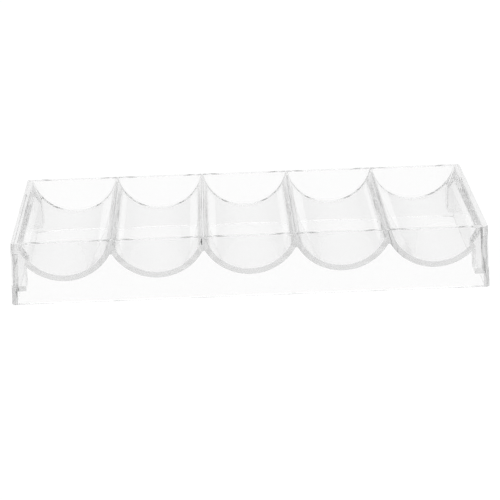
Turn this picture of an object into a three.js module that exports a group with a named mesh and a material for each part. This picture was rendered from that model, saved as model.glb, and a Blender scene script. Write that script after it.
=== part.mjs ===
// Clear acrylic chip rack: five half-round channels side by side, closed by a
// front wall, a back wall and two end walls that flare outwards to an open base.
// A divider rail caps the ridge between two channels, and a stacking post
// stands in each corner underneath.
//
// Millimetres. +X runs across the channels, +Y runs along them from front to
// back, +Z is up. The origin is at the centre of the base.
import * as THREE from 'three';

// Driving dimensions
const CHANNEL_COUNT = 5;
const CHIP_DIAMETER = 39;
const MOUTH_CLEARANCE = 1; // a channel's mouth is this much wider than a chip
const RIDGE_LAND = 1; // flat left between two mouths at the rim
const END_LEDGE = 3; // flat left at each end of the rim
const RIM_DEPTH = 83;
const HEIGHT = 28.4;
const CHANNEL_RADIUS = 20.5; // inside of a channel
const CHANNEL_WALL = 2.4;
const SIDE_WALL = 2.4; // front and back walls
const END_WALL = 2.5;
const END_FLARE = 1.4; // how far each end wall leans out, rim to base
const SIDE_FLARE = 1.3; // how far the front and back walls lean out
const POST_WIDTH = 3.9;
const POST_DEPTH = 7.7;
const POST_LIFT = 5.8; // clear height under a stacking post
const BOND_GAP = 0.3; // room for the solvent bond between two pieces
const ARC_STEPS = 32;

// Sizes that follow from them
const MOUTH = CHIP_DIAMETER + MOUTH_CLEARANCE;
const PITCH = MOUTH + RIDGE_LAND;
const RIM_LENGTH = CHANNEL_COUNT * MOUTH + (CHANNEL_COUNT - 1) * RIDGE_LAND + 2 * END_LEDGE;
const AXIS_LIFT = Math.sqrt(CHANNEL_RADIUS ** 2 - (MOUTH / 2) ** 2); // channel axis above the rim
const AXIS_HEIGHT = HEIGHT + AXIS_LIFT;
const OUTER_RADIUS = CHANNEL_RADIUS + CHANNEL_WALL;
const RIM_ANGLE = Math.asin(MOUTH / 2 / CHANNEL_RADIUS); // from straight down
const MEETING_ANGLE = Math.asin(PITCH / 2 / OUTER_RADIUS); // where two channels' undersides meet
const HALF_GAP_ANGLE = BOND_GAP / 2 / CHANNEL_RADIUS;
const END_REACH = MOUTH / 2 + END_LEDGE; // last channel's axis to the rim's end

// Half of the outer length and depth at a height, on the flared walls.
const halfLength = (height) => RIM_LENGTH / 2 + END_FLARE * (1 - height / HEIGHT);
const halfDepth = (height) => RIM_DEPTH / 2 + SIDE_FLARE * (1 - height / HEIGHT);

// Inside faces, less the room for the bond.
const innerDepth = (height) => halfDepth(height) - SIDE_WALL - BOND_GAP;

const axisOf = (channel) => (channel - (CHANNEL_COUNT - 1) / 2) * PITCH;

// Points on an arc about a channel's axis, as [across, up]. Angles are from
// straight down, positive towards +X.
function arc(radius, from, to, steps = ARC_STEPS) {
  return Array.from({ length: steps + 1 }, (_, step) => {
    const angle = from + ((to - from) * step) / steps;
    return [radius * Math.sin(angle), AXIS_HEIGHT - radius * Math.cos(angle)];
  });
}

const shifted = (points, across) => points.map(([x, z]) => [x + across, z]);
const mirrored = (points) => points.map(([x, z]) => [-x, z]);

// A straight bar with the given section of [across, up] points. Along 'y' the
// section's across is X, along 'x' it is Y. Each end lies where a function of
// height puts it, so that it can follow a slanted wall.
function bar(section, along, lowEnd, highEnd) {
  const outline = new THREE.Shape(section.map(([across, up]) => new THREE.Vector2(across, up)));
  const geometry = new THREE.ExtrudeGeometry(outline, { depth: 1, bevelEnabled: false });
  geometry.rotateX(Math.PI / 2);
  geometry.translate(0, 0.5, 0);
  if (along === 'x') geometry.rotateZ(Math.PI / 2);
  const vertices = geometry.attributes.position;
  for (let i = 0; i < vertices.count; i += 1) {
    const height = vertices.getZ(i);
    if (along === 'x') {
      vertices.setX(i, vertices.getX(i) > 0 ? highEnd(height) : lowEnd(height));
    } else {
      vertices.setY(i, vertices.getY(i) > 0 ? highEnd(height) : lowEnd(height));
    }
  }
  geometry.computeVertexNormals();
  return geometry;
}

const rack = new THREE.Group();

function addPiece(name, geometry) {
  const material = new THREE.MeshStandardMaterial({
    color: 0xeef0f2,
    roughness: 0.06,
    metalness: 0,
    transparent: true,
    opacity: 0.35,
  });
  const piece = new THREE.Mesh(geometry, material);
  piece.name = name;
  rack.add(piece);
}

// Front and back walls: plates that lean out towards the base, the full length
// of the rack, with ends flush with the end walls' outer faces.
function sideWallSection() {
  const outer = [0, HEIGHT].map((height) => [halfDepth(height), height]);
  const inner = [HEIGHT, 0].map((height) => [halfDepth(height) - SIDE_WALL, height]);
  return [...outer, ...inner];
}

function addSideWalls() {
  const lowEnd = (height) => -halfLength(height);
  addPiece('front_wall', bar(mirrored(sideWallSection()), 'x', lowEnd, halfLength));
  addPiece('back_wall', bar(sideWallSection(), 'x', lowEnd, halfLength));
}

// End walls: plates between the front and back walls. The top is a shoulder
// that carries on the last channel's curve up to the rim's ledge and is cut off
// square to the curve where the channel joins it.
function endWallSection() {
  const cut = MEETING_ANGLE + HALF_GAP_ANGLE;
  const lean = END_FLARE / HEIGHT;
  const insideAtRim = END_REACH - END_WALL;
  const reach =
    (insideAtRim - lean * AXIS_LIFT) / (Math.sin(cut) - lean * Math.cos(cut)); // cut meets inner face
  return [
    [END_REACH + END_FLARE, 0],
    [END_REACH, HEIGHT],
    ...arc(CHANNEL_RADIUS, RIM_ANGLE, cut, ARC_STEPS / 4),
    [reach * Math.sin(cut), AXIS_HEIGHT - reach * Math.cos(cut)],
    [insideAtRim + END_FLARE, 0],
  ];
}

function addEndWalls() {
  const section = shifted(endWallSection(), axisOf(CHANNEL_COUNT - 1));
  const lowEnd = (height) => -innerDepth(height);
  addPiece('left_end_wall', bar(mirrored(section), 'y', lowEnd, innerDepth));
  addPiece('right_end_wall', bar(section, 'y', lowEnd, innerDepth));
}

// Channels: round-bottomed troughs of even thickness, cut off square to the
// curve just below the ridges.
function addChannels() {
  const edge = MEETING_ANGLE - HALF_GAP_ANGLE;
  const section = [...arc(CHANNEL_RADIUS, -edge, edge), ...arc(OUTER_RADIUS, edge, -edge)];
  const lowEnd = (height) => -innerDepth(height);
  for (let channel = 0; channel < CHANNEL_COUNT; channel += 1) {
    const placed = shifted(section, axisOf(channel));
    addPiece(`chip_channel_${channel + 1}`, bar(placed, 'y', lowEnd, innerDepth));
  }
}

// Divider rails: the tops of the ridges. Both flanks carry on the channels'
// curves, up to a narrow flat land, and the underside is a shallow V that sits
// on the two channels' edges.
function addDividerRails() {
  const cut = MEETING_ANGLE + HALF_GAP_ANGLE;
  const flank = shifted(arc(CHANNEL_RADIUS, cut, RIM_ANGLE, ARC_STEPS / 4), -PITCH / 2);
  const keel = [0, AXIS_HEIGHT - PITCH / 2 / Math.tan(cut)];
  const section = [...flank, ...mirrored(flank).reverse(), keel];
  const lowEnd = (height) => -innerDepth(height);
  for (let ridge = 0; ridge < CHANNEL_COUNT - 1; ridge += 1) {
    const placed = shifted(section, axisOf(ridge) + PITCH / 2);
    addPiece(`divider_rail_${ridge + 1}`, bar(placed, 'y', lowEnd, innerDepth));
  }
}

// Stacking posts: one in each corner underneath, from the channel's underside
// down to a foot that stays clear of the base, against the end wall on one side
// and the front or back wall on another.
function postSection() {
  const wallAt = (height) =>
    END_REACH + END_FLARE * (1 - height / HEIGHT) - END_WALL - BOND_GAP;
  const inboard = wallAt(POST_LIFT) - POST_WIDTH;
  const topRadius = OUTER_RADIUS + BOND_GAP;
  const low = Math.asin(inboard / topRadius);
  const high = Math.asin(wallAt(HEIGHT) / topRadius);
  const top = arc(topRadius, low, high, ARC_STEPS / 4);
  const [, shoulder] = top[top.length - 1];
  return [[inboard, POST_LIFT], ...top, [wallAt(shoulder), shoulder], [wallAt(POST_LIFT), POST_LIFT]];
}

function addStackingPosts() {
  const right = shifted(postSection(), axisOf(CHANNEL_COUNT - 1));
  const tip = RIM_DEPTH / 2 - SIDE_WALL - POST_DEPTH;
  const ends = {
    front: [(height) => -innerDepth(height), () => -tip],
    back: [() => tip, innerDepth],
  };
  for (const [end, [lowEnd, highEnd]] of Object.entries(ends)) {
    addPiece(`${end}_left_stacking_post`, bar(mirrored(right), 'y', lowEnd, highEnd));
    addPiece(`${end}_right_stacking_post`, bar(right, 'y', lowEnd, highEnd));
  }
}

addSideWalls();
addEndWalls();
addChannels();
addDividerRails();
addStackingPosts();

export default rack;
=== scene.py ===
import math

import bmesh
import bpy
import numpy as np
from bpy.props import FloatProperty, PointerProperty
from mathutils import Matrix, Vector


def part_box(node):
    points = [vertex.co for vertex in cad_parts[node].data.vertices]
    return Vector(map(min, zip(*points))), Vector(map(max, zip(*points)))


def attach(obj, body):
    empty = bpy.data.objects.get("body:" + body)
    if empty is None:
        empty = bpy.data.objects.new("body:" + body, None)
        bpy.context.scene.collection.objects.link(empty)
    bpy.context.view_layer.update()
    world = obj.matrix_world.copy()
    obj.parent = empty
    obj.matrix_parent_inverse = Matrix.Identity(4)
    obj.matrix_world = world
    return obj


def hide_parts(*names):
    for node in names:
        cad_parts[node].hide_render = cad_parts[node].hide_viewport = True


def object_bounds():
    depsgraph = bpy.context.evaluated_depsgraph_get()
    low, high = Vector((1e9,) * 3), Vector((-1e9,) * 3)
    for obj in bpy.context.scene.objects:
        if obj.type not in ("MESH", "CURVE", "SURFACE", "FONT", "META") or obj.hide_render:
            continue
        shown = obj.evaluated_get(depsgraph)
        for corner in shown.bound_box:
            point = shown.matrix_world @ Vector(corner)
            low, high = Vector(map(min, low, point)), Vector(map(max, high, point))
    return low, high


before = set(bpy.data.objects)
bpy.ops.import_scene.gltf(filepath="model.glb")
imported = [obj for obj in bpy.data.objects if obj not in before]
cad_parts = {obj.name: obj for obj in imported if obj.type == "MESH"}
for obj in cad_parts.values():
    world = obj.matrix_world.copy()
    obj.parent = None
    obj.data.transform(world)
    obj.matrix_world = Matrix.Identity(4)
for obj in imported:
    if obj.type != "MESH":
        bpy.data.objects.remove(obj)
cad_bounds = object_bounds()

bl_info = {
    "name": "Clear Chip Rack",
    "version": (1, 0, 0),
    "blender": (4, 5, 0),
    "location": "View3D > Sidebar > Chip Rack",
    "description": "Builds a clear acrylic rack for gaming chips, and a light table to see it on",
    "category": "Object",
}

BODY = "root"
CHANNELS = 5
ARC_STEPS = 40  # along the middle of a channel's curve
FLANK_STEPS = 8  # along the curve near each ridge
EDGE_STEPS = 5  # round an eased edge
CORNER_STEPS = 8  # round an upright corner
KEEL_STEPS = 8  # round the keel under a ridge
CUT_ROUNDS = 12  # rounds that settle where a channel's underside meets an end wall
SHARP_ANGLE = math.radians(28)  # edges bent by more than this stay crisp
WELD = 1e-7  # points closer than this are one point

ACRYLIC = "polished_acrylic"
BOND = "solvent_bond"
GUIDED_BOUNCES = 200  # light trapped in a wall turns back this often before it gets out
TABLE_PATCH = 0.4  # spacing of the table's brighter patches
TABLE_GRAIN = 0.001  # spacing of the table's grain
TABLE_DULLNESS = (0.7, 0.9)  # the table's roughness, from smooth to rough places
TABLE_WANDER = 0.2  # share by which the table's white varies


# ---------------------------------------------------------------------------
# Settings
# ---------------------------------------------------------------------------


def length(name, description, default):
    """A setting in metres."""
    return FloatProperty(name=name, description=description, default=default, unit="LENGTH", precision=5)


def angle(name, description, degrees):
    """A setting that is an angle, given here in degrees."""
    return FloatProperty(name=name, description=description, default=math.radians(degrees), unit="ROTATION")


class RackSizes(bpy.types.PropertyGroup):
    """Sizes of the rack"""

    mouth: length("Mouth", "Width of a channel at the rim", 0.040)
    ridge_land: length("Ridge land", "Flat between two channels at the rim", 0.001)
    end_ledge: length("End ledge", "Flat at each end of the rim", 0.003)
    channel_radius: length("Channel radius", "Inside radius of a channel", 0.0205)
    channel_wall: length("Channel wall", "Thickness of a channel", 0.0024)
    side_wall: length("Side wall", "Thickness of the front and back walls", 0.0024)
    end_wall: length("End wall", "Thickness of the end walls", 0.0025)
    end_flare: length("End flare", "How far an end wall leans out from rim to base", 0.0014)
    side_flare: length("Side flare", "How far the front and back walls lean out", 0.0013)
    post_width: length("Post width", "Width of a stacking post across the rack", 0.0039)
    post_depth: length("Post depth", "Depth of a stacking post from the wall", 0.0077)
    post_lift: length("Post lift", "Clear height under a stacking post", 0.0058)
    fillet: length("Inside fillet", "Radius where a channel meets a wall", 0.00015)
    keel: length("Keel radius", "Radius where the undersides of two channels meet", 0.0008)
    bond_line: length("Bond line", "Clear gap that a solvent bond takes up", 0.00002)
    edge: length("Eased edge", "Reach of the rounding on an outside edge", 0.0003)
    ridge_edge: length("Ridge edge", "Reach of the rounding where a channel meets the rim", 0.0003)
    corner: length("Corner radius", "Radius of the rack's upright corners", 0.0018)


def level(name, description, default, **limits):
    """A setting without a unit that is never negative."""
    return FloatProperty(name=name, description=description, default=default, min=0, precision=4, **limits)


class AcrylicLook(bpy.types.PropertyGroup):
    """Look of the clear plastic"""

    clearness: level("Clearness", "Share of light that a polished face lets through", 0.948, max=1)
    cloud: level("Cloud", "How far the clearness wanders from place to place", 0.006)
    haze: level("Haze", "Roughness where the polish is worst", 0.02, max=1)
    ior: level("Index", "Refractive index of the plastic", 1.49, max=2)
    depth_loss: level("Depth loss", "Light lost in the thickness of the plastic, as a rate a metre", 2.2)
    wave_length: length("Wave length", "Spacing of the sheet's slow waves", 0.02)
    wave_height: length("Wave height", "Height of the sheet's slow waves", 0.00002)
    grain_length: length("Grain length", "Spacing of the fine polishing marks", 0.0006)
    grain_height: length("Grain height", "Height of the fine polishing marks", 0.0000001)


class StageLook(bpy.types.PropertyGroup):
    """Look of the table and the light, and the camera's place"""

    air_gap: length("Air gap", "Air between the rack's polished feet and the table", 0.0002)
    table_reach: length("Table reach", "Half the width of the light table", 3.0)
    table_glow: level("Table glow", "Light that the table gives by itself", 1.0)
    table_unevenness: level("Table unevenness", "How far the glow wanders from place to place", 0.02)
    table_white: level("Table white", "Share of the light on the table that it sends back", 0.03, max=1)
    table_grain: length("Table grain", "Height of the table's fine grain", 0.00002)
    room_middle: level("Room middle", "Brightness of the room in front of the rack and behind it", 0.97)
    room_sides: level("Room sides", "Brightness of the room to the left and right", 0.4)
    room_spread: level("Room spread", "How quickly the room darkens towards the sides", 1.5)
    lamp_brightness: level("Lamp brightness", "Brightness of the soft light's face", 1.0)
    lamp_size: length("Lamp size", "Width of the square soft light", 1.6)
    lamp_height: length("Lamp height", "Height of the soft light above the table", 1.4)
    camera_azimuth: angle("Azimuth", "How far the camera stands to the right of straight ahead", -1.352)
    camera_elevation: angle("Elevation", "How steeply the camera looks down", 22.553)
    camera_roll: angle("Roll", "How far the camera is turned about its own axis", -1.683)
    camera_distance: length("Distance", "From the camera to the middle of the rack", 0.7466)
    aim_right: length("Aim right", "How far the camera is moved to its right", 0.00107)
    aim_up: length("Aim up", "How far the camera is moved up its picture", -0.00898)
    view_angle: angle("View angle", "Angle across the whole picture", 17.7232)


# ---------------------------------------------------------------------------
# The rack's shape, worked out from its sizes
# ---------------------------------------------------------------------------


def eased(before, corner, after):
    """Points round an eased corner: a quadratic curve that leaves `before` towards `corner` and
    arrives at `after` from it. Each point is (1-t)^2 before + 2t(1-t) corner + t^2 after."""
    t = np.linspace(0, 1, EDGE_STEPS + 1)[:, None]
    return (1 - t) ** 2 * np.array(before) + 2 * t * (1 - t) * np.array(corner) + t**2 * np.array(after)


def turned(points):
    """The same points, mirrored across the rack and in the opposite order."""
    return points[::-1] * (-1, 1)


class RackShape:
    """Sections of the rack across its length, as (x, z) points, on the sizes in the settings and
    the boxes of the frame. `growth` is how far the channels' surfaces have swollen towards an
    end wall's fillet: the inside radius loses it and the outside radius gains it."""

    def __init__(self, sizes):
        for name in RackSizes.__annotations__:
            setattr(self, name, getattr(sizes, name))
        low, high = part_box("front_wall")
        self.height = high.z
        self.rim_half_length = high.x - self.end_flare
        self.rim_half_depth = -low.y - self.side_flare
        self.pitch = self.mouth + self.ridge_land
        self.axes = (np.arange(CHANNELS) - (CHANNELS - 1) / 2) * self.pitch
        self.lift = math.sqrt(self.channel_radius**2 - (self.mouth / 2) ** 2)
        self.axis_height = self.height + self.lift
        self.end_reach = self.mouth / 2 + self.end_ledge

    def lean(self, z):
        """1 at the base and 0 at the rim."""
        return 1 - z / self.height

    def inner_depth(self, z):
        """Half the depth between the front and back walls' inner faces at a height."""
        return self.rim_half_depth - self.side_wall + self.side_flare * self.lean(z)

    def end_inside(self, z):
        """From the last channel's axis to the end wall's inner face at a height."""
        return self.end_reach - self.end_wall + self.end_flare * self.lean(z)

    def on_arc(self, radius, angle):
        """Points on a circle about a channel's axis. Angles are from straight down."""
        angle = np.atleast_1d(angle)
        return np.stack([radius * np.sin(angle), self.axis_height - radius * np.cos(angle)], 1)

    def radii(self, growth):
        """Inside and outside radius of a channel."""
        inside = self.channel_radius - growth
        outside = self.channel_radius + self.channel_wall + growth
        return inside, outside

    def ridge_cut(self, growth):
        """The angle at which the rounding between two channels' undersides leaves them."""
        return math.asin(self.pitch / 2 / (self.radii(growth)[1] + self.keel))

    def end_cut(self, growth):
        """The angle at which the last channel's underside meets the end wall's inner face, found
        by stepping between the circle and the leaning face until they agree."""
        radius = self.radii(growth)[1]
        across = self.end_inside(self.height)
        for _ in range(CUT_ROUNDS):
            across = self.end_inside(self.axis_height - math.sqrt(radius**2 - across**2))
        return math.asin(across / radius)

    def post_angle(self, growth):
        """The angle at which a post's inboard face meets the underside of the last channel."""
        inboard = self.end_inside(self.post_lift) - self.post_width
        return math.asin(inboard / self.radii(growth)[1])

    def channel_angles(self, channel, growth):
        """Angles of the points across a channel, from its left cut to its right cut."""
        left = self.end_cut(growth) if channel == 0 else self.ridge_cut(growth)
        right = self.end_cut(growth) if channel == CHANNELS - 1 else self.ridge_cut(growth)
        post = self.post_angle(growth)
        return np.concatenate([
            np.linspace(-left, -post, FLANK_STEPS + 1),
            np.linspace(-post, post, ARC_STEPS + 1)[1:],
            np.linspace(post, right, FLANK_STEPS + 1)[1:],
        ])

    def flank(self, cut, growth):
        """The inside curve above a channel's cut, from the cut to the rim, and its eased turn on
        to the flat land."""
        inside = self.radii(growth)[0]
        rim = math.asin(math.sqrt(inside**2 - self.lift**2) / inside)
        angles = np.linspace(cut, rim - self.ridge_edge / inside, FLANK_STEPS + 1)
        curve = self.on_arc(inside, angles)
        corner = self.on_arc(inside, rim)[0]
        return np.concatenate([curve, eased(curve[-1], corner, corner + (self.ridge_edge, 0))[1:]])

    def channel_section(self, channel, growth, bond=0.0):
        """A band between two circles: the inside curve from left to right, and the outside back.
        Its cut edges stand back by the bond."""
        angles = self.channel_angles(channel, growth)
        angles[0] += bond / self.channel_radius
        angles[-1] -= bond / self.channel_radius
        inside, outside = self.radii(growth)
        loop = np.concatenate([self.on_arc(inside, angles), self.on_arc(outside, angles[::-1])])
        return loop + (self.axes[channel], 0)

    def keel_curve(self, ridge, growth):
        """The rounding under a ridge, from left to right: a circle that touches the undersides of
        both channels from below."""
        cut = self.ridge_cut(growth)
        centre_drop = (self.radii(growth)[1] + self.keel) * math.cos(cut)
        angles = np.linspace(-cut, cut, KEEL_STEPS + 1)
        curve = self.keel * np.stack([np.sin(angles), np.cos(angles)], 1)
        return curve + (self.axes[ridge] + self.pitch / 2, self.axis_height - centre_drop)

    def rail_section(self, ridge, growth):
        """The top of a ridge: the two flanks, the land between them and the round keel below,
        where the undersides of the two channels meet."""
        right = self.flank(self.ridge_cut(growth), growth) - (self.pitch / 2, 0)
        loop = np.concatenate([right, turned(right)]) + (self.axes[ridge] + self.pitch / 2, 0)
        return np.concatenate([loop, self.keel_curve(ridge, growth)[::-1]])

    def outer_profile(self):
        """The outside of a wall from base to rim, as (how far out of the rim's edge line, height),
        without the lean: an eased base edge, a straight face and an eased rim edge."""
        e = self.edge
        base = eased((-e, 0), (0, 0), (0, e))
        rim = eased((0, self.height - e), (0, self.height), (-e, self.height))
        return np.concatenate([base, rim])

    def end_outline(self):
        """The outside of an end wall, from base to rim, measured from the last channel's axis:
        the profile moved out to the wall, and further out towards the base as the wall leans."""
        across, height = self.outer_profile().T
        return np.stack([across + (self.end_reach + self.end_flare * self.lean(height)), height], 1)

    def base_inside(self):
        """The eased inner edge of an end wall's foot, from the inner face down to the base."""
        e = self.edge
        start = (self.end_inside(e), e)
        corner = (self.end_inside(0), 0)
        return eased(start, corner, (corner[0] + e, 0))

    def end_wall_section(self, growth):
        """The right end wall, measured from the last channel's axis: the flank of the last
        channel, the ledge, the outside, the foot and the inner face up to the channel's cut."""
        cut = self.end_cut(growth)
        meeting = self.on_arc(self.radii(growth)[1], cut)
        beside_post = [(self.end_inside(self.post_lift), self.post_lift)]
        return np.concatenate([
            self.flank(cut, growth), self.end_outline()[::-1], self.base_inside()[::-1], beside_post, meeting
        ])

    def post_section(self, growth, bond=0.0):
        """A post, measured from the last channel's axis: the inboard face, the top along the
        channel's underside, and the side against the end wall. It stands back by the bond from
        the channel and the wall."""
        inboard = self.end_inside(self.post_lift) - self.post_width
        angles = np.linspace(self.post_angle(growth), self.end_cut(growth), FLANK_STEPS + 1)
        top = self.on_arc(self.radii(growth)[1] + bond, angles)
        top[-1, 0] -= 2 * bond
        outboard = self.end_inside(self.post_lift) - bond
        return np.concatenate([[(inboard, self.post_lift)], top, [(outboard, self.post_lift)]])

    def fillet_rows(self):
        """Distances from a wall and the growth at each, round a quarter circle: at the wall the
        surface has grown by the fillet's radius, and one radius away it has not grown. The first
        distance is the bond's."""
        turn = np.linspace(0, math.pi / 2, EDGE_STEPS + 1)
        distances = self.bond_line + (self.fillet - self.bond_line) * (1 - np.cos(turn))
        return distances, self.fillet * (1 - np.sin(turn))


# ---------------------------------------------------------------------------
# Closed shells
# ---------------------------------------------------------------------------


class Shell:
    """Collects the faces of one closed piece. Bonded faces are those glued to a neighbour."""

    def __init__(self):
        self.points = []
        self.faces = []
        self.bonded = []
        self.count = 0

    def add_grid(self, grid, bonded=None):
        """Quads between the neighbouring points of a rows x columns grid."""
        rows, columns = grid.shape[:2]
        index = self.count + np.arange(rows * columns).reshape(rows, columns)
        quads = np.stack([index[:-1, :-1], index[1:, :-1], index[1:, 1:], index[:-1, 1:]], -1)
        flags = np.zeros((rows - 1, columns - 1), bool) if bonded is None else bonded
        self.points.append(grid.reshape(-1, 3))
        self.faces += quads.reshape(-1, 4).tolist()
        self.bonded += flags.reshape(-1).tolist()
        self.count += rows * columns

    def add_face(self, loop, bonded=False):
        """One face round a loop of points."""
        self.points.append(np.asarray(loop, float))
        self.faces.append(list(range(self.count, self.count + len(loop))))
        self.bonded.append(bonded)
        self.count += len(loop)

    def welded(self):
        """Points that coincide become one, and faces that collapse by it are dropped."""
        points = np.concatenate(self.points)
        _, first, inverse = np.unique(
            np.round(points / WELD).astype(np.int64), axis=0, return_index=True, return_inverse=True
        )
        inverse = inverse.reshape(-1)
        faces, flags = [], []
        for face, flag in zip(self.faces, self.bonded):
            loop = inverse[face]
            loop = loop[loop != np.roll(loop, 1)]
            if len(set(loop.tolist())) >= 3:
                faces.append(loop.tolist())
                flags.append(flag)
        return points[first], faces, flags

    def build(self, name):
        """The shell as a smooth-shaded object with crisp edges. It has to be closed."""
        points, faces, flags = self.welded()
        mesh = bpy.data.meshes.new(name)
        mesh.from_pydata(points.tolist(), [], faces)
        mesh.materials.append(bpy.data.materials[ACRYLIC])
        mesh.materials.append(bpy.data.materials[BOND])
        mesh.polygons.foreach_set("material_index", np.array(flags, np.int32))
        working = bmesh.new()
        working.from_mesh(mesh)
        bmesh.ops.recalc_face_normals(working, faces=working.faces)
        loose = [edge for edge in working.edges if len(edge.link_faces) != 2]
        working.to_mesh(mesh)
        working.free()
        if loose:
            raise RuntimeError(f"{name} isn't closed: {len(loose)} of its edges don't have two faces")
        mesh.polygons.foreach_set("use_smooth", np.ones(len(mesh.polygons), bool))
        mesh.set_sharp_from_angle(angle=SHARP_ANGLE)
        piece = bpy.data.objects.new(name, mesh)
        bpy.context.scene.collection.objects.link(piece)
        evened = piece.modifiers.new("even_normals", "WEIGHTED_NORMAL")
        evened.mode = "FACE_AREA"
        evened.keep_sharp = True
        evened.weight = 100
        return piece


def finish_piece(shell, name, node):
    """Build a shell as a piece of the rack, in place of its plain node."""
    piece = shell.build(name)
    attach(piece, BODY)
    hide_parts(node)
    return piece


def wall_station(shape, end, distance, growth):
    """A cut along a wall, a distance inside the inner face of the front (end -1) or back (end +1)
    wall at every height, and how much the channels' surfaces have grown there."""
    return lambda z: end * (shape.inner_depth(z) - distance), growth


def tip_station(shape, end):
    """An upright cut at the posts' free faces near the front or back wall."""
    depth = end * (shape.inner_depth(shape.height) - shape.post_depth)
    return lambda z: np.full_like(z, depth), 0.0


def wall_stations(shape, end):
    """Cuts round the fillet at the front or back wall, from the wall inwards."""
    return [wall_station(shape, end, distance, growth) for distance, growth in zip(*shape.fillet_rows())]


def stations_between_walls(shape):
    """Cuts from the front wall to the back one: round the front fillet, at the tips of the posts,
    and round the back fillet."""
    tips = [tip_station(shape, -1), tip_station(shape, 1)]
    return wall_stations(shape, -1) + tips + wall_stations(shape, 1)[::-1]


def beside_posts(gaps):
    """Which gaps between cuts lie beside a post: those before the first tip and after the last."""
    flags = np.zeros(gaps, bool)
    flags[: EDGE_STEPS + 1] = True
    flags[-(EDGE_STEPS + 1):] = True
    return flags


def prism(section_at, stations, mark_bonds):
    """A closed bar along Y. Each station is (y as a function of height, growth). The section is
    worked out for the station's growth and laid at its y, neighbouring loops are joined by quads,
    and a bonded face closes each end. `mark_bonds` sets which quads are bonded, in an array of
    gaps between stations by sides of the section."""
    loops = []
    for y_at, growth in stations:
        section = section_at(growth)
        loops.append(np.stack([section[:, 0], y_at(section[:, 1]), section[:, 1]], 1))
    grid = np.stack(loops)
    flags = np.zeros((grid.shape[0] - 1, grid.shape[1]), bool)
    mark_bonds(flags)
    shell = Shell()
    shell.add_grid(np.concatenate([grid, grid[:, :1]], 1), flags)
    shell.add_face(grid[0], bonded=True)
    shell.add_face(grid[-1], bonded=True)
    return shell


def sided(section, shape, side):
    """A section measured from the last channel's axis, moved to the right end (side +1) of the
    rack, or mirrored to the left end (side -1)."""
    moved = section + (shape.axes[-1], 0)
    return moved if side > 0 else turned(moved)


def channel_shell(shape, channel):
    """A channel: the band between two circles about its axis, carried along Y. Its cut edges are
    bonded, and so is its underside where it lies on a post."""
    inside_gaps = 2 * FLANK_STEPS + ARC_STEPS

    def section_at(growth):
        return shape.channel_section(channel, growth, shape.bond_line)

    def mark_bonds(flags):
        flags[:, [inside_gaps, -1]] = True
        posts = beside_posts(len(flags))
        if channel == CHANNELS - 1:
            flags[posts, inside_gaps + 1: inside_gaps + 1 + FLANK_STEPS] = True
        if channel == 0:
            flags[posts, -1 - FLANK_STEPS: -1] = True

    return prism(section_at, stations_between_walls(shape), mark_bonds)


def rail_shell(shape, ridge):
    """The top of a ridge: two flanks, the land between them and the keel below, carried along Y.
    It is bonded to the channels on both sides of the keel."""

    def section_at(growth):
        return shape.rail_section(ridge, growth)

    def mark_bonds(flags):
        flags[:, [-1, -2 - KEEL_STEPS]] = True

    return prism(section_at, stations_between_walls(shape), mark_bonds)


def end_wall_shell(shape, side):
    """An end wall with its ledge and shoulder, carried along Y. It is bonded along the channel's
    cut, and beside each post."""

    def section_at(growth):
        return sided(shape.end_wall_section(growth), shape, side)

    def mark_bonds(flags):
        flags[:, -1] = True
        flags[beside_posts(len(flags)), -2 if side > 0 else 0] = True

    return prism(section_at, stations_between_walls(shape), mark_bonds)


def post_shell(shape, side, end):
    """A post from its wall to its free face: straight sides, a level foot, and a top that follows
    the channel's underside. Only the inboard side, the foot and the free face aren't bonded."""

    def section_at(growth):
        return sided(shape.post_section(growth, shape.bond_line), shape, side)

    def mark_bonds(flags):
        flags[:] = True
        flags[:, [0 if side > 0 else -2, -1]] = False

    shell = prism(section_at, wall_stations(shape, end) + [tip_station(shape, end)], mark_bonds)
    shell.bonded[-1] = False  # the free face
    return shell


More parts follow.
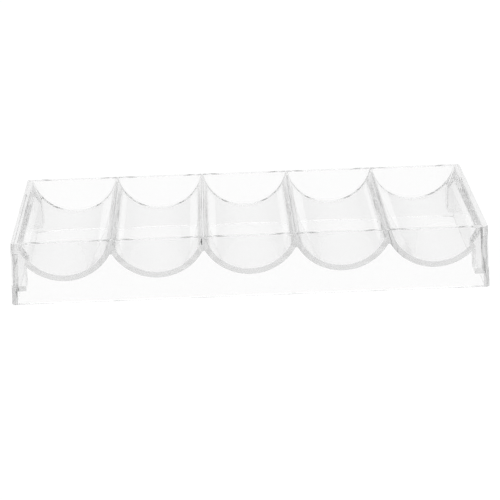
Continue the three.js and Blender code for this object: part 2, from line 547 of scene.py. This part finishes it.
class SideWall:
    """The front (end -1) or back (end +1) wall, put together from its outside, its inner face and
    the openings of the channels and the base."""

    def __init__(self, shape, end):
        self.shape = shape
        self.end = end
        self.shell = Shell()

    def placed(self, section, into=0.0):
        """Points of a section on the wall's inner face, moved a distance into the wall."""
        section = np.asarray(section, float)
        y = self.end * self.shape.inner_depth(section[:, 1]) + self.end * into
        return np.stack([section[:, 0], y, section[:, 1]], 1)

    def outside(self):
        """The profile carried along the wall's plan, as a grid of profile points by plan points.
        The plan is a straight end, a quarter circle at the corner grown by the profile's step, and
        the same mirrored, all moved out by the flare times the lean."""
        shape = self.shape
        turn = np.linspace(0, math.pi / 2, CORNER_STEPS + 1)
        rows = []
        for out, z in shape.outer_profile():
            x_corner = shape.rim_half_length - shape.corner + (shape.corner + out) * np.cos(turn)
            y_corner = shape.rim_half_depth - shape.corner + (shape.corner + out) * np.sin(turn)
            x_half = np.concatenate([[shape.rim_half_length + out], x_corner])
            y_half = np.concatenate([[shape.rim_half_depth - shape.side_wall], y_corner])
            x_half = x_half + shape.end_flare * shape.lean(z)
            y_half = y_half + shape.side_flare * shape.lean(z)
            x = np.concatenate([x_half, -x_half[::-1]])
            y = np.concatenate([y_half, y_half[::-1]])
            rows.append(np.stack([x, self.end * y, np.full_like(x, z)], 1))
        return np.stack(rows)

    def opening(self, left, right):
        """The eased edge of an opening, between its left and right eased edges. It goes into the
        wall by the edge's reach times the square of the way along, and ends in mitres. The last
        row, on the flat land, is returned."""
        into = self.shape.edge * np.linspace(0, 1, EDGE_STEPS + 1) ** 2
        columns = [self.placed(left), self.placed(left, into), self.placed(right, into), self.placed(right)]
        grid = np.stack(columns, 1)
        self.shell.add_grid(grid)
        return grid[-1]

    def mouth(self, channel):
        """The wall round a channel: its opening at the rim, the clear window above the channel's
        curve, and the bonded face against the channel's end."""
        shape, growth = self.shape, self.shape.fillet
        left_cut = shape.end_cut(growth) if channel == 0 else shape.ridge_cut(growth)
        right_cut = shape.end_cut(growth) if channel == CHANNELS - 1 else shape.ridge_cut(growth)
        axis = (shape.axes[channel], 0)
        left = shape.flank(left_cut, growth) * (-1, 1) + axis
        right = shape.flank(right_cut, growth) + axis
        land = self.opening(left[FLANK_STEPS:], right[FLANK_STEPS:])
        curve = shape.on_arc(shape.radii(growth)[0], shape.channel_angles(channel, growth)) + axis
        window = [left[: FLANK_STEPS + 1][::-1], curve[1:-1], right[: FLANK_STEPS + 1]]
        self.shell.add_face(self.placed(np.concatenate(window)))
        self.shell.add_face(self.placed(shape.channel_section(channel, growth)), bonded=True)
        return land

    def underside(self, foot):
        """The inner face below the channels, between the posts and the end walls' feet."""
        shape, growth = self.shape, self.shape.fillet
        post = shape.post_section(growth)
        right_side = np.concatenate([[post[1], post[0], post[-1]], foot[:1]]) + (shape.axes[-1], 0)
        parts = [turned(right_side)]
        for channel in range(CHANNELS):
            angles = shape.channel_angles(channel, growth)
            if channel == 0:
                angles = angles[FLANK_STEPS:]
            if channel == CHANNELS - 1:
                angles = angles[:-FLANK_STEPS]
            parts.append(shape.on_arc(shape.radii(growth)[1], angles) + (shape.axes[channel], 0))
            if channel < CHANNELS - 1:
                parts.append(shape.keel_curve(channel, growth))
        loop = np.concatenate(parts + [right_side])
        apart = np.any(np.abs(loop - np.roll(loop, 1, 0)) > WELD, axis=1)
        self.shell.add_face(self.placed(loop[apart]))

    def build(self):
        """The closed shell of the wall."""
        shape, growth, far = self.shape, self.shape.fillet, self.shape.axes[-1]
        outside = self.outside()
        self.shell.add_grid(outside)
        lands = [self.mouth(channel) for channel in range(CHANNELS)]
        for ridge in range(CHANNELS - 1):
            self.shell.add_face(self.placed(shape.rail_section(ridge, growth)), bonded=True)
        foot = shape.base_inside()
        base_land = self.opening(foot * (-1, 1) - (far, 0), foot + (far, 0))
        for side in (-1, 1):
            for section in (shape.end_wall_section(growth), shape.post_section(growth)):
                self.shell.add_face(self.placed(sided(section, shape, side)), bonded=True)
        self.underside(foot)
        self.shell.add_face(np.concatenate([outside[-1], np.concatenate(lands)]))
        self.shell.add_face(np.concatenate([outside[0], base_land]))
        return self.shell


# ---------------------------------------------------------------------------
# Materials
# ---------------------------------------------------------------------------

def join(tree, kind, inputs, **settings):
    """A new node of a kind, with its inputs linked to other nodes' outputs or set to values."""
    node = tree.nodes.new("ShaderNode" + kind)
    for name, value in settings.items():
        setattr(node, name, value)
    for name, value in inputs.items():
        if isinstance(value, bpy.types.NodeSocket):
            tree.links.new(value, node.inputs[name])
        else:
            node.inputs[name].default_value = value
    return node


def mapped(tree, value, low, high):
    """A 0 to 1 value stretched to run from low to high."""
    return join(tree, "MapRange", {"Value": value, "To Min": low, "To Max": high}).outputs["Result"]


def noise(tree, place, spacing, detail):
    """Cloudy noise from 0 to 1, whose patches are a given distance apart."""
    inputs = {"Vector": place, "Scale": 1 / spacing, "Detail": detail}
    return join(tree, "TexNoise", inputs).outputs["Fac"]


def make_acrylic(look):
    """Clear polished plastic: slow waves of the cast sheet, fine polishing marks, a trace of
    haze that comes and goes, and a little light lost in its depth."""
    material = bpy.data.materials.new(ACRYLIC)
    material.use_nodes = True
    tree = material.node_tree
    place = join(tree, "TexCoord", {}).outputs["Object"]
    waves = noise(tree, place, look.wave_length, 1)
    grain = noise(tree, place, look.grain_length, 2)
    clearness = mapped(tree, waves, look.clearness - look.cloud, look.clearness + look.cloud)
    slow = join(tree, "Bump", {"Height": waves, "Distance": look.wave_height}).outputs["Normal"]
    inputs = {"Height": grain, "Distance": look.grain_height, "Normal": slow}
    marked = join(tree, "Bump", inputs).outputs["Normal"]
    shader = tree.nodes["Principled BSDF"]
    shader.inputs["IOR"].default_value = look.ior
    shader.inputs["Transmission Weight"].default_value = 1.0
    tree.links.new(clearness, shader.inputs["Base Color"])
    tree.links.new(mapped(tree, grain, 0, look.haze), shader.inputs["Roughness"])
    tree.links.new(marked, shader.inputs["Normal"])
    depth = join(tree, "VolumeAbsorption", {"Color": (0, 0, 0, 1), "Density": look.depth_loss})
    tree.links.new(depth.outputs["Volume"], tree.nodes["Material Output"].inputs["Volume"])


def make_bond():
    """A solvent bond can't be seen: light goes straight through it."""
    material = bpy.data.materials.new(BOND)
    material.use_nodes = True
    tree = material.node_tree
    tree.nodes.clear()
    output = tree.nodes.new("ShaderNodeOutputMaterial")
    clear = tree.nodes.new("ShaderNodeBsdfTransparent")
    tree.links.new(clear.outputs[0], output.inputs["Surface"])
    return material


# ---------------------------------------------------------------------------
# Operators
# ---------------------------------------------------------------------------


def rack_shape():
    """The rack's shape on the scene's present settings."""
    return RackShape(bpy.context.scene.chip_rack_sizes)


class CHIPRACK_OT_materials(bpy.types.Operator):
    """Make the clear acrylic and the bond between its pieces"""

    bl_idname = "chiprack.materials"
    bl_label = "Make Materials"

    def execute(self, context):
        make_acrylic(context.scene.chip_rack_acrylic)
        make_bond()
        return {"FINISHED"}


class CHIPRACK_OT_side_walls(bpy.types.Operator):
    """Make the front and back walls"""

    bl_idname = "chiprack.side_walls"
    bl_label = "Front and Back Walls"

    def execute(self, context):
        shape = rack_shape()
        for name, end in (("front_wall", -1), ("back_wall", 1)):
            finish_piece(SideWall(shape, end).build(), f"{name}_clear", name)
        return {"FINISHED"}


class CHIPRACK_OT_end_walls(bpy.types.Operator):
    """Make the two end walls"""

    bl_idname = "chiprack.end_walls"
    bl_label = "End Walls"

    def execute(self, context):
        shape = rack_shape()
        for name, side in (("left_end_wall", -1), ("right_end_wall", 1)):
            finish_piece(end_wall_shell(shape, side), f"{name}_clear", name)
        return {"FINISHED"}


class CHIPRACK_OT_channels(bpy.types.Operator):
    """Make the chip channels"""

    bl_idname = "chiprack.channels"
    bl_label = "Chip Channels"

    def execute(self, context):
        shape = rack_shape()
        for channel in range(CHANNELS):
            name = f"chip_channel_{channel + 1}"
            finish_piece(channel_shell(shape, channel), f"{name}_clear", name)
        return {"FINISHED"}


class CHIPRACK_OT_rails(bpy.types.Operator):
    """Make the divider rails"""

    bl_idname = "chiprack.rails"
    bl_label = "Divider Rails"

    def execute(self, context):
        shape = rack_shape()
        for ridge in range(CHANNELS - 1):
            name = f"divider_rail_{ridge + 1}"
            finish_piece(rail_shell(shape, ridge), f"{name}_clear", name)
        return {"FINISHED"}


class CHIPRACK_OT_posts(bpy.types.Operator):
    """Make the stacking posts"""

    bl_idname = "chiprack.posts"
    bl_label = "Stacking Posts"

    def execute(self, context):
        shape = rack_shape()
        for end_name, end in (("front", -1), ("back", 1)):
            for side_name, side in (("left", -1), ("right", 1)):
                name = f"{end_name}_{side_name}_stacking_post"
                finish_piece(post_shell(shape, side, end), f"{name}_clear", name)
        return {"FINISHED"}


class CHIPRACK_OT_stage(bpy.types.Operator):
    """Make the light table, the soft light and the camera"""

    bl_idname = "chiprack.stage"
    bl_label = "Stage"

    def execute(self, context):
        look = context.scene.chip_rack_stage
        make_floor(look)
        make_light(look)
        make_camera(look)
        return {"FINISHED"}


def make_table_surface(look):
    """Opal plastic lit from below, a little uneven, with a fine grain."""
    material = bpy.data.materials.new("light_table")
    material.use_nodes = True
    tree = material.node_tree
    place = join(tree, "TexCoord", {}).outputs["Object"]
    patches = noise(tree, place, TABLE_PATCH, 2)
    grain = noise(tree, place, TABLE_GRAIN, 2)
    shader = tree.nodes["Principled BSDF"]
    shader.inputs["Specular IOR Level"].default_value = 0
    low_white, high_white = (look.table_white * share for share in (1 - TABLE_WANDER, 1 + TABLE_WANDER))
    links = {
        "Base Color": mapped(tree, patches, low_white, high_white),
        "Roughness": mapped(tree, grain, *TABLE_DULLNESS),
        "Normal": join(tree, "Bump", {"Height": grain, "Distance": look.table_grain}).outputs["Normal"],
        "Emission Strength": mapped(tree, patches, look.table_glow, look.table_glow + look.table_unevenness),
    }
    for name, output in links.items():
        tree.links.new(output, shader.inputs[name])
    shader.inputs["Emission Color"].default_value = (1, 1, 1, 1)
    return material


def make_floor(look):
    """The light table: a flat square just under the rack's feet."""
    mesh = bpy.data.meshes.new("light_table")
    sides = look.table_reach * np.array([(-1, -1), (1, -1), (1, 1), (-1, 1)])
    corners = np.column_stack([sides, np.full(4, -look.air_gap)])
    mesh.from_pydata(corners.tolist(), [], [(0, 1, 2, 3)])
    mesh.materials.append(make_table_surface(look))
    floor = bpy.data.objects.new("light_table", mesh)
    bpy.context.scene.collection.objects.link(floor)


def make_light(look):
    """A pale room that darkens towards the sides, as sides + (middle - sides) exp(-spread x^2) by
    the direction's x, and a square soft light straight above."""
    world = bpy.data.worlds.new("pale_room")
    bpy.context.scene.world = world
    world.use_nodes = True
    tree = world.node_tree
    direction = join(tree, "TexCoord", {}).outputs["Generated"]
    x = join(tree, "SeparateXYZ", {"Vector": direction}).outputs["X"]
    squared = join(tree, "Math", {0: x, 1: x}, operation="MULTIPLY").outputs[0]
    scaled = join(tree, "Math", {0: squared, 1: -look.room_spread}, operation="MULTIPLY").outputs[0]
    fading = join(tree, "Math", {0: scaled}, operation="EXPONENT").outputs[0]
    brightness = mapped(tree, fading, look.room_sides, look.room_middle)
    tree.links.new(brightness, tree.nodes["Background"].inputs["Strength"])
    tree.nodes["Background"].inputs["Color"].default_value = (1, 1, 1, 1)

    lamp_data = bpy.data.lights.new("soft_light", "AREA")
    lamp_data.size = look.lamp_size
    lamp_data.energy = look.lamp_brightness * math.pi * look.lamp_size**2
    lamp = bpy.data.objects.new("soft_light", lamp_data)
    lamp.location = (0, 0, look.lamp_height)
    bpy.context.scene.collection.objects.link(lamp)

    scene = bpy.context.scene
    scene.view_settings.view_transform = "Standard"
    scene.cycles.max_bounces = GUIDED_BOUNCES
    scene.cycles.transmission_bounces = GUIDED_BOUNCES
    scene.cycles.glossy_bounces = GUIDED_BOUNCES
    scene.cycles.transparent_max_bounces = 2 * GUIDED_BOUNCES


def make_camera(look):
    """A camera that looks at the middle of the rack from its azimuth and elevation, turned by its
    roll and then moved across its picture."""
    azimuth, elevation, roll = look.camera_azimuth, look.camera_elevation, look.camera_roll
    level_back = Vector((math.sin(azimuth), -math.cos(azimuth), 0))
    back = level_back * math.cos(elevation) + Vector((0, 0, math.sin(elevation)))
    level_right = Vector((0, 0, 1)).cross(back).normalized()
    level_up = back.cross(level_right)
    right = math.cos(roll) * level_right + math.sin(roll) * level_up
    up = math.cos(roll) * level_up - math.sin(roll) * level_right
    low, high = (Vector(corner) for corner in cad_bounds)
    middle = (low + high) / 2
    place = middle + back * look.camera_distance + right * look.aim_right + up * look.aim_up
    data = bpy.data.cameras.new("camera")
    data.angle = look.view_angle
    camera = bpy.data.objects.new("camera", data)
    camera.matrix_world = Matrix.Translation(place) @ Matrix((right, up, back)).transposed().to_4x4()
    bpy.context.scene.collection.objects.link(camera)
    bpy.context.scene.camera = camera


class CHIPRACK_PT_panel(bpy.types.Panel):
    """Lists the rack's settings and the operators that make its pieces"""

    bl_idname = "CHIPRACK_PT_panel"
    bl_label = "Chip Rack"
    bl_space_type = "VIEW_3D"
    bl_region_type = "UI"
    bl_category = "Chip Rack"

    def draw(self, context):
        layout = self.layout
        for name, group in SETTINGS:
            settings = getattr(context.scene, f"chip_rack_{name}")
            column = layout.column(align=True)
            for setting in group.__annotations__:
                column.prop(settings, setting)
        for operator in OPERATORS:
            layout.operator(operator.bl_idname)


OPERATORS = (
    CHIPRACK_OT_materials,
    CHIPRACK_OT_side_walls,
    CHIPRACK_OT_end_walls,
    CHIPRACK_OT_channels,
    CHIPRACK_OT_rails,
    CHIPRACK_OT_posts,
    CHIPRACK_OT_stage,
)
SETTINGS = (("sizes", RackSizes), ("acrylic", AcrylicLook), ("stage", StageLook))


def register():
    """Register the settings, the operators and the panel."""
    for name, group in SETTINGS:
        bpy.utils.register_class(group)
        setattr(bpy.types.Scene, f"chip_rack_{name}", PointerProperty(type=group))
    for operator in OPERATORS:
        bpy.utils.register_class(operator)
    bpy.utils.register_class(CHIPRACK_PT_panel)


def unregister():
    """Take away what register added, in the opposite order."""
    bpy.utils.unregister_class(CHIPRACK_PT_panel)
    for operator in reversed(OPERATORS):
        bpy.utils.unregister_class(operator)
    for name, group in reversed(SETTINGS):
        delattr(bpy.types.Scene, f"chip_rack_{name}")
        bpy.utils.unregister_class(group)


def main():
    """Register the add-on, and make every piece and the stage."""
    register()
    for operator in OPERATORS:
        group, name = operator.bl_idname.split(".")
        getattr(getattr(bpy.ops, group), name)()


if __name__ == "__main__":
    main()
